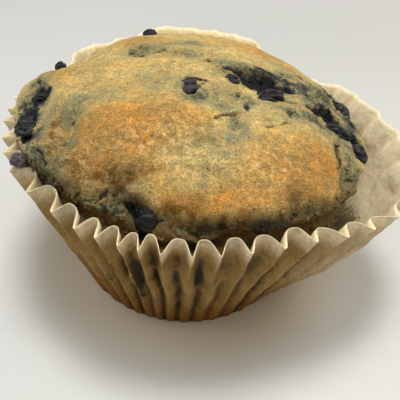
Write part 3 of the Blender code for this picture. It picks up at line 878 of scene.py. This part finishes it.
JUICE = (
    (-25.5, -18, 2, 7, 6, 0.75), (-24, -11.5, 5, 3.4, 20, 0.6), (-17, -8, 6, 2.4, 10, 0.3),
    (-8, -4.5, 5, 3.4, 0, 0.45), (-15, -1, 5, 3, 0, 0.25), (-4, 9, 6, 1.8, 4, 0.55),
    (-14.5, 12, 5, 2.2, -10, 0.75), (-17, 8, 5, 2, -14, 0.45), (3, 5.6, 4, 1.4, -30, 0.45),
    (4.5, -9, 3, 3, 0, 0.3), (0, -11, 3, 2, 0, 0.45), (-0.5, -7, 4.4, 4.2, 0, 0.6),
    (10.5, -16.5, 2.6, 4.2, -20, 0.75), (8, -23.5, 3.8, 3, 15, 0.7), (4.6, -18.5, 1.8, 2.2, 0, 0.55),
    (13, -20.5, 3, 1.6, -30, 0.4), (9.5, -7.5, 4.5, 3, 0, 0.55), (19, -8.5, 6, 2.4, -10, 0.5),
    (25, -7, 6, 3.4, -20, 0.55), (14, 3.6, 9, 3.4, -6, 0.9), (25, 6, 7, 3.4, -14, 0.7),
    (29, 1, 7, 5, -10, 0.75), (28, 10.5, 8, 3, -25, 0.5), (35, 5, 5, 8, 10, 0.85),
    (38, 10, 3.4, 8, 15, 0.9), (39, -2, 2.6, 6, 0, 1.1), (31, -8.5, 6, 3, -25, 0.7),
    (36.8, -13, 1.8, 5, 0, 0.4), (37.5, -20, 3.4, 7, 0, 0.55), (-36.5, -4, 4, 9, 12, 1.1),
    (-35.5, -15, 3.4, 8, 15, 1.2), (-33, -22, 2.6, 5, 20, 0.55), (-29.5, -30, 5, 3.4, -38, 0.95),
    (-33.5, -26.5, 4, 3, -50, 0.9), (-20, -36, 7, 3, -14, 0.45), (1, -27.5, 5, 1.4, 8, 0.2),
    (28, -8.5, 6, 3, 0, 0.12), (-28, -17, 4.5, 9, 0, 0.1), (-6, 15, 9, 5, 0, 0.3),
    (18, 14, 10, 4, 0, 0.3), (-31, 8, 5, 3, 30, 0.25), (18, 25, 8, 2.4, 0, 0.25),
    (-2, 15.5, 4, 3, 0, 0.5), (7, -12, 2.4, 1.4, 20, 0.5), (12.6, -7.4, 2.4, 2, 0, 0.35),
    (17, -11.5, 4, 1.2, -30, 0.35), (22.4, -11, 1.4, 4, 10, 0.35), (2.4, -9.6, 3, 1.6, 20, 0.35),
    (-8, -8.4, 3, 1.6, 0, 0.25),
)
SKIN = (
    (-0.3, -7, 1.4, 2.4, 4, 0.8), (0, -3.8, 1.9, 0.6, 6, 1), (3, -3.8, 1.2, 0.7, 20, 0.45),
    (15.6, 1.2, 3.9, 2.5, -8, 1.15), (9.4, 2.6, 3, 1.2, -14, 0.42), (5.4, 3.4, 2.2, 0.9, -24, 0.28),
    (13.2, -1, 1.7, 0.8, -14, 1.2), (20.5, 0, 3.6, 1.2, 5, 0.8), (22, 3.4, 4.6, 2, -12, 0.62),
    (16.5, 5.4, 3.6, 1.6, -10, 0.4), (27.5, 6, 3.4, 1.2, -18, 0.35), (33.2, -3.4, 3.6, 1.9, -22, 1.15),
    (28.4, -3.6, 2.8, 0.9, -16, 0.6), (29.5, -7, 3.4, 1, -30, 0.36), (39.6, -6.4, 1.7, 1.8, 0, 1),
    (35, 12.5, 2.2, 3.6, 20, 0.6), (37.4, 7.4, 1.6, 4.6, 12, 0.75), (39.4, 1.4, 1, 3.6, 0, 0.75),
    (31.8, 9.6, 1.2, 1.6, 0, 0.4), (34.2, 4.4, 1, 2, 10, 0.45), (-34.6, -5, 1.6, 2.8, 10, 1),
    (-36.8, -12, 2.6, 3.8, 15, 1.1), (-37.8, -6.6, 2.6, 3.6, 0, 0.5), (-35.6, -17.6, 1.6, 2.6, 10, 0.8),
    (-10.6, -36.4, 1.5, 0.9, -30, 0.8), (-7.6, -38.6, 1.5, 2.4, 32, 1),
    (12.4, -10.4, 0.7, 1.5, 14, 0.55), (34.2, -17.4, 0.8, 2.6, 0, 0.45),
    (-31.5, -28.6, 1.4, 1, -40, 0.5),
)
PAINTED_SHADE_PATCHES = (
    (-8, -38, 2, 3.2, 32, 0.8), (-12.3, -39.8, 3, 1.2, 0, 0.5), (-13, -33, 7, 0.8, 4, 0.5),
    (-22, -33.5, 3.4, 1.4, -35, 0.55), (-25.5, -31.5, 3, 1.4, -45, 0.5), (-29.5, -30, 3, 2, -40, 0.35),
    (4.5, -39.4, 2.8, 1, 0, 0.9), (8.6, -40.2, 1, 1.6, 0, 0.9), (16.5, -38.2, 2.8, 1.1, 10, 0.9),
    (20.5, -36.8, 3, 0.9, 20, 0.6), (12.5, -39.4, 1.6, 0.8, 0, 0.5), (-23.5, -26, 1.6, 4, 30, 0.3),
    (6, -30, 2, 1.4, 0, 0.4), (16.6, -24, 2.2, 3, 20, 0.15), (33.6, -17, 0.8, 4.4, 0, 0.75),
    (22.5, -32.5, 1.2, 1.6, 0, 0.45), (-13.5, -36.4, 3.4, 1.2, 10, 0.35),
    (-19.4, -36.8, 2.2, 1, -30, 0.4), (9.6, -14, 2, 0.8, -30, 0.25), (13, 2.2, 9, 4.2, -8, 0.15),
)
# Where the crust is rough and flaky, and where it is toasted to a deeper brown.
FLAKY = (
    (-4, -22, 6, 3.4, 0, 1), (-11, -25.5, 7, 2.6, -8, 0.9), (2, -28, 9, 3.4, 0, 0.8),
    (13, -26, 7, 3, 10, 0.6), (4, -19, 3, 4, 0, 0.8), (-22, -27, 5, 3, -20, 0.6),
    (20, -28, 6, 3, 20, 0.5), (-5, -11, 7, 3, 0, 0.35), (-12, -35.5, 6, 2.4, 0, 0.7),
    (10, -12, 6, 4, 0, 0.5), (-30, -24, 4, 5, 0, 0.6),
)
TOASTED = (
    (-15, -28.6, 5, 1.6, 6, 0.3), (-18, -21, 5, 4, 0, 0.28), (-1, -39.2, 6, 2.2, 0, 1.1),
    (13, -37.8, 9, 1.8, 8, 0.5), (24, -31.5, 7, 2.8, 26, 0.6), (-13, -31.2, 7, 1.8, 0, 1.1),
    (-23, -29.5, 4, 2, -24, 0.6), (-29, -26.5, 3, 4, -40, 0.6), (-29, -17, 4, 8, 0, 0.8),
    (-1, -35.5, 8, 2.2, 0, 0.25), (-15, 20, 8, 3.4, -16, 0.35), (16, 24, 12, 3, 4, 0.3),
    (31, -22, 3, 6, 20, 0.3), (-36, 6, 3, 7, 0, 0.4), (25, -25, 8, 3, 24, 0.2),
    (-3, 13.6, 8, 3, 0, 0.55), (-13, -35.2, 5, 2, 0, 0.8), (-25, -22, 3.4, 5, 0, 0.45),
    (-31, 3, 5, 5, 0, 0.25),
)


def pores(points, size, seed, share_open):
    """Small round pits: each lattice cell may hold one pit at a random place, and a point
    takes the largest 1 - (distance / radius)^2 of the pits near it, or 0 outside them all."""
    cell = np.floor(points / size)
    deepest = np.zeros(len(points))
    for offset in np.ndindex(3, 3, 3):
        home = cell + np.array(offset) - 1
        middle = np.stack([chance(home, seed + term) for term in range(3)], axis=-1)
        pit_radius = (0.18 + 0.30 * chance(home, seed + 3)) * size
        apart = np.linalg.norm(points - (home + middle) * size, axis=-1)
        pit = np.clip(1 - (apart / pit_radius) ** 2, 0, 1)
        deepest = np.maximum(deepest, np.where(chance(home, seed + 4) < share_open, pit, 0))
    return deepest


muffin_material, crumb_shader, crumb_place = new_material("baked crumb", 0.72, 0.3)
muffin_piece = make_piece("baked_muffin", muffin_points, muffin_faces, {}, muffin_material)
all_x, all_y = muffin_points[:, 0], muffin_points[:, 1]
side_count = len(muffin_points) - crown_count
on_side = np.arange(len(muffin_points)) >= crown_count
side_step = np.concatenate([np.zeros(crown_count), np.repeat(np.arange(1, len(side_rings) + 1), lip_count),
                            [len(side_rings)]])


def over_muffin(on_crown):
    """One value for each point of the muffin, from its values on the crown: 0 on the side."""
    return np.concatenate([on_crown.ravel(), np.zeros(side_count)])


ledge_mask = over_muffin(crown_ledge)
hollow = over_muffin(np.maximum(crown_hollow, crack_mask))
cracked = over_muffin(np.minimum(1, 3 * crack_mask))
skin = np.where(on_side, 0, relief(all_x, all_y, SKIN))
juice = relief(all_x, all_y, JUICE) * np.where(on_side, 0.6, 1)
flaky = relief(all_x, all_y, FLAKY) * (1 - ledge_mask) * np.where(on_side, 0, 1)
rough = np.clip(0.9 * ledge_mask + on_side + 0.5 * juice + 0.6 * flaky, 0, 1)

normals = np.empty(len(muffin_points) * 3, np.float32)
muffin_piece.data.vertices.foreach_get("normal", normals)
normals = normals.reshape(-1, 3)
fine_pits = pores(muffin_points, *FINE_PORES) * (0.35 + 0.65 * rough)
large_pits = pores(muffin_points, *LARGE_PORES) * rough
lumps = cloud(muffin_points, *LUMP_FIELD)
small_lumps = cloud(muffin_points, *SMALL_LUMP_FIELD)
grains = cloud(muffin_points, *GRAIN_FIELD)
wrinkles = 1 - np.abs(cloud(muffin_points * (1, 1.6, 1.6), *WRINKLE_FIELD))
flakes = smooth_step(0.5 + 1.3 * cloud(muffin_points, *FLAKE_FIELD)) * flaky
swellings = np.where(on_side, 0, 1) * cloud(muffin_points, *SWELLING_FIELD)
rise = LUMP_HEIGHT * lumps + (GRAIN_HEIGHT[0] + GRAIN_HEIGHT[1] * rough) * grains
rise = rise + (SMALL_LUMP_HEIGHT[0] + SMALL_LUMP_HEIGHT[1] * rough) * small_lumps
rise = rise + FLAKE_HEIGHT * flakes + SWELLING_HEIGHT * swellings
rise = rise - FINE_PIT_DEPTH * fine_pits - LARGE_PIT_DEPTH * large_pits
rise = rise - WRINKLE_DEPTH * smooth_step(skin * 1.5) * wrinkles ** 3
muffin_points = muffin_points + normals * (rise * (1 - 0.5 * hollow))[:, None]
below = on_side & (muffin_points[:, 2] < around(np.arctan2(all_y, all_x), RIM_HEIGHT) + 1)
turned = np.arctan2(muffin_points[:, 1], muffin_points[:, 0])
away = np.hypot(muffin_points[:, 0], muffin_points[:, 1])
held = np.where(below, np.minimum(1, pleated_inside(turned, muffin_points[:, 2]) / np.maximum(away, 1)), 1)
muffin_points[:, :2] *= held[:, None]
bottom = side_step >= len(side_rings) - len(BOTTOM_SHARES)
muffin_points[bottom, 2] = CAD_PAPER + GAP
muffin_piece.data.vertices.foreach_set("co", (muffin_points * MM).astype(np.float32).ravel())
muffin_piece.data.update()

# Painted shade, stored as the dark value: it grows down the side below the lip, and lies in holes and
# cracks, in the patches of painted shade, and on the ledge.
under = on_side * smooth_step(side_step / 5)
painted_shade = relief(all_x, all_y, PAINTED_SHADE_PATCHES) * (1 - 0.5 * on_side)
painted_shade = painted_shade + 0.5 * hollow + 0.55 * cracked + 0.42 * under
crumb_values = {
    "browned": np.clip(relief(all_x, all_y, BROWNED), 0, 1) * (1 - 0.6 * on_side),
    "toasted": np.clip(relief(all_x, all_y, TOASTED), 0, 1) * (1 - 0.5 * on_side),
    "flaky": np.clip(flaky, 0, 1),
    "juice": np.clip(juice + 0.35 * ledge_mask, 0, 1.6),
    "skin": np.clip(skin + 0.3 * hollow * (skin > 0.2), 0, 1.3),
    "dark": np.clip(painted_shade + ledge_mask ** 2 * around(turned, LEDGE_PAINTED_SHADE), 0, 0.93),
    "side": np.clip(on_side + 0.7 * ledge_mask ** 2, 0, 1),
    "pits": np.clip(fine_pits + large_pits, 0, 1),
}
store_values(muffin_piece, crumb_values)

CRUMB_PALE = srgb(218, 191, 124)
CRUMB_GOLD = srgb(214, 171, 96)
CRUMB_ORANGE = srgb(212, 146, 62)
CRUMB_TOASTED = srgb(124, 83, 16)
CRUMB_FLAKE = srgb(240, 226, 182)
CRUMB_SIDE = srgb(134, 102, 44)
STAIN_GREEN = srgb(150, 145, 107)
STAIN_DEEP = srgb(90, 86, 60)
STAIN_SLATE = srgb(74, 76, 68)
SKIN_BLACK = srgb(20, 20, 24)
CRUMB_SHADE = srgb(34, 25, 10)
PEPPER = srgb(70, 42, 18)

wide_noise = grain(crumb_place, 120, 0.34, 0.66)
blotch_noise = grain(crumb_place, 300, 0.36, 0.64)
mid_noise = grain(crumb_place, 800, 0.36, 0.64)
fine_noise = grain(crumb_place, 2800, 0.30, 0.70)
uneven = reckon("ADD", band(wide_noise, 0, 1, -0.16, 0.16), band(blotch_noise, 0, 1, -0.14, 0.14))
browned = reckon("ADD", attribute(crumb_shader, "browned"), uneven)
toasted = times(attribute(crumb_shader, "toasted"), band(blotch_noise, 0, 1, 0.5, 1.5))
flecks = times(attribute(crumb_shader, "flaky"), band(mid_noise, 0.40, 1.0), 0.36)
juiced = times(attribute(crumb_shader, "juice"), band(blotch_noise, 0, 1, 0.25, 1.75),
               band(mid_noise, 0, 1, 0.6, 1.4))
crumb_colour = CRUMB_PALE
for mask, colour in (
    (band(browned, 0.05, 0.65), CRUMB_GOLD),
    (band(browned, 0.55, 1.45), CRUMB_ORANGE),
    (band(toasted, 0.05, 1.2), CRUMB_TOASTED),
    (flecks, CRUMB_FLAKE),
    (times(attribute(crumb_shader, "side"), 0.85), CRUMB_SIDE),
    (band(juiced, 0.16, 0.84), STAIN_GREEN),
    (band(juiced, 0.80, 1.80), STAIN_DEEP),
):
    crumb_colour = blend(mask, crumb_colour, colour)
# Random tone at four sizes, then painted shade in the pits, darkest in their middles.
for mask, dark, light in (
    (fine_noise, 0.60, 1.28), (mid_noise, 0.84, 1.14), (blotch_noise, 0.79, 1.17), (wide_noise, 0.86, 1.12),
    (attribute(crumb_shader, "pits"), 1.0, 0.50),
):
    crumb_colour = shade(mask, 0, 1, dark, light, crumb_colour)
pepper_cells = node("ShaderNodeTexVoronoi", {"Vector": crumb_place, "Scale": 620.0})
pepper_tint = node("ShaderNodeSeparateColor", {"Color": pepper_cells.outputs["Color"]})
pepper = times(band(pepper_cells.outputs["Distance"], 0.10, 0.20, 1.0, 0.0),
               band(pepper_tint.outputs["Red"], 0.90, 0.92), 0.85)
skin_shown = attribute(crumb_shader, "skin")
skin_edge = reckon("ADD", band(blotch_noise, 0, 1, -0.24, 0.22), band(mid_noise, 0, 1, -0.20, 0.18))
skinned = reckon("ADD", skin_shown, times(band(skin_shown, 0.02, 0.30), skin_edge))
full_skin = band(skinned, 0.42, 0.72)
# Pepper specks, then painted shade from the dark value, then berry skin.
for mask, colour in (
    (pepper, PEPPER),
    (attribute(crumb_shader, "dark"), CRUMB_SHADE),
    (band(skinned, 0.10, 0.46, 0.0, 0.92), STAIN_SLATE),
    (times(full_skin, 0.97), SKIN_BLACK),
):
    crumb_colour = blend(mask, crumb_colour, colour)
feed(crumb_shader, "Base Color", crumb_colour)
feed(crumb_shader, "Roughness", band(full_skin, 0, 1, 0.70, 0.42))
bump(crumb_shader, reckon("ADD", fine_noise, mid_noise), 0.8, 0.0003)
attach(muffin_piece, "root")
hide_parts("muffin")


# The crumbs: bits of the muffin's own crumb, torn off where it came away from the paper and
# left lying on the ledge and along the gap. Each is a small, uneven lump partly sunk in.
CRUMBS = 480
CRUMB_RADIUS = (0.20, 0.70)
CRUMB_ROWS = 6
CRUMB_COLUMNS = 10
CRUMB_SEED = 23
CRUMB_FIELD = (0.8, 91, 2)
CRUMB_UNEVENNESS = 0.7
CRUMB_SIDE_RINGS = 16
CRUMB_UNDER_RIM = 4


def round_ball(rows, columns):
    """A ball of radius 1: points at the cosine of the latitude from the upright axis and
    its sine up, for each longitude, with two poles. Then its faces."""
    latitude = np.linspace(-math.pi / 2, math.pi / 2, rows + 1)[1:-1, None]
    longitude = np.linspace(0, 2 * math.pi, columns, endpoint=False)[None, :]
    rings = at_turn(np.cos(latitude), longitude, np.sin(latitude)).reshape(-1, 3)
    south, north = len(rings), len(rings) + 1
    faces = [grid_quads(rows - 1, columns, True), fan(np.arange(columns), south)[:, ::-1],
             fan(np.arange(south - columns, south), north)]
    return np.concatenate([rings, [(0, 0, -1), (0, 0, 1)]]), faces


draw = np.random.default_rng(CRUMB_SEED)
torn_side = (side_step < CRUMB_SIDE_RINGS) * around(turned, TORN_SPAN)
torn_here = np.where(on_side, torn_side, 0.8 * ledge_mask + 0.05 * (juice > 0.6))
torn_here = torn_here * (muffin_points[:, 2] > around(turned, RIM_HEIGHT) - CRUMB_UNDER_RIM)
homes = draw.choice(len(muffin_points), CRUMBS, p=torn_here / torn_here.sum())
crumb_size = CRUMB_RADIUS[0] + (CRUMB_RADIUS[1] - CRUMB_RADIUS[0]) * draw.uniform(0, 1, CRUMBS) ** 2.5
ball, ball_faces = round_ball(CRUMB_ROWS, CRUMB_COLUMNS)
lumped = np.stack([ball + (home, 0, 0) for home in 10 * np.arange(CRUMBS)])
lumped = ball * (1 + CRUMB_UNEVENNESS * cloud(lumped, *CRUMB_FIELD))[..., None]
lumped = lumped * draw.uniform(0.7, 1.3, (CRUMBS, 1, 3))
crumb_middles = muffin_points[homes] + normals[homes] * 0.3 * crumb_size[:, None]
loose_points = crumb_middles[:, None] + lumped * crumb_size[:, None, None]
crumb_starts = (len(ball) * np.arange(CRUMBS))[:, None, None]
loose_faces = [(faces + crumb_starts).reshape(-1, faces.shape[1]) for faces in ball_faces]
# Each crumb takes the values of its home point, painted shade included.
loose_values = {key: np.repeat(value[homes], len(ball)) for key, value in crumb_values.items()}
loose_values["side"] = 0.6 + 0.4 * loose_values["side"]
loose_crumbs = make_piece("loose_crumbs", loose_points.reshape(-1, 3), loose_faces, loose_values,
                          muffin_material)
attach(loose_crumbs, "root")


# The berries: baked whole in the batter, so each is a soft, collapsed fruit with a
# wrinkled dark skin that shows through its own hole in the crust.
BERRIES = {
    "berry_top": ((4.6, 4.2, 4.2), 0),
    "berry_burst": ((5.0, 4.2, 3.8), -6),
    "berry_collapsed": ((3.4, 2.8, 3.2), 0),
    "berry_right": ((4.4, 3.0, 3.2), -25),
    "berry_right_edge": ((3.2, 3.2, 3.4), 0),
    "berry_right_back": ((3.0, 5.0, 3.0), 18),
    "berry_left_upper": ((3.2, 2.8, 3.2), 0),
    "berry_left": ((3.8, 4.0, 2.6), 20),
    "berry_front": ((3.8, 3.0, 3.2), 180),
    "berry_front_right": ((3.2, 2.9, 2.8), -20),
    "berry_rim": ((2.1, 2.0, 1.7), 0),
    "berry_back": ((2.2, 2.2, 2.0), 0),
    "berry_back_left": ((1.8, 1.8, 1.7), 0),
}
# How far the pulp shows through a torn skin, and how much of its bloom a skin has kept.
PULP = {"berry_rim": 1.0, "berry_top": 0.22}
BLOOM = {"berry_front": 0.0, "berry_burst": 0.5, "berry_left": 0.6, "berry_front_right": 0.3}
BERRY_COLUMNS = 96
BERRY_ROWS = 56
BERRY_SEED = 100
FURROW_DEPTH = 0.26
BERRY_UNEVENNESS = 0.05
BERRY_SKIN = srgb(17, 16, 19)
BERRY_BLOOM = srgb(52, 55, 62)
BERRY_PULP = srgb(104, 86, 96)

berry_material, berry_shader, berry_place = new_material("baked berry skin", 0.42, 0.36)
berry_bloom = times(grain(berry_place, 420, 0.46, 0.74), attribute(berry_shader, "crest"))
berry_colour = blend(times(berry_bloom, 0.75), BERRY_SKIN, BERRY_BLOOM)
pulp = times(attribute(berry_shader, "pulp"), band(grain(berry_place, 700, 0.35, 0.65), 0, 1, 0.4, 1.0))
feed(berry_shader, "Base Color", blend(pulp, berry_colour, BERRY_PULP))
bump(berry_shader, grain(berry_place, 900, 0.3, 0.7), 0.5, 0.0003)


def berry_surface(centre, half_widths, turn, seed):
    """An ellipsoid drawn in along random furrows: its radius is 1 - depth * (1 - |field|)^3
    with a smooth random field, so the furrows are sharp. Then its faces, and its crests."""
    unit, faces = round_ball(BERRY_ROWS, BERRY_COLUMNS)
    furrow = (1 - np.abs(cloud(unit * (1, 1.5, 1) + seed, 0.8, seed, 2))) ** 3
    reach = 1 - FURROW_DEPTH * furrow + BERRY_UNEVENNESS * cloud(unit + seed, 0.25, seed + 5)
    shaped = unit * reach[:, None] * np.array(half_widths)
    cosine, sine = math.cos(math.radians(turn)), math.sin(math.radians(turn))
    spun = np.stack([shaped[:, 0] * cosine - shaped[:, 1] * sine,
                     shaped[:, 0] * sine + shaped[:, 1] * cosine, shaped[:, 2]], axis=-1)
    return spun + np.array(centre), faces, 1 - furrow


for number, (name, (half_widths, turn)) in enumerate(BERRIES.items()):
    low_corner, high_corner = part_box(name)
    centre = tuple((low_corner[axis] + high_corner[axis]) / 2 / MM for axis in range(3))
    berry_points, berry_faces, crest = berry_surface(centre, half_widths, turn, BERRY_SEED + number)
    berry = make_piece("fruit_" + name, berry_points, berry_faces, {
        "crest": crest * BLOOM.get(name, 1.0),
        "pulp": np.full(len(berry_points), PULP.get(name, 0.0)),
    }, berry_material)
    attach(berry, "root")
    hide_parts(name)
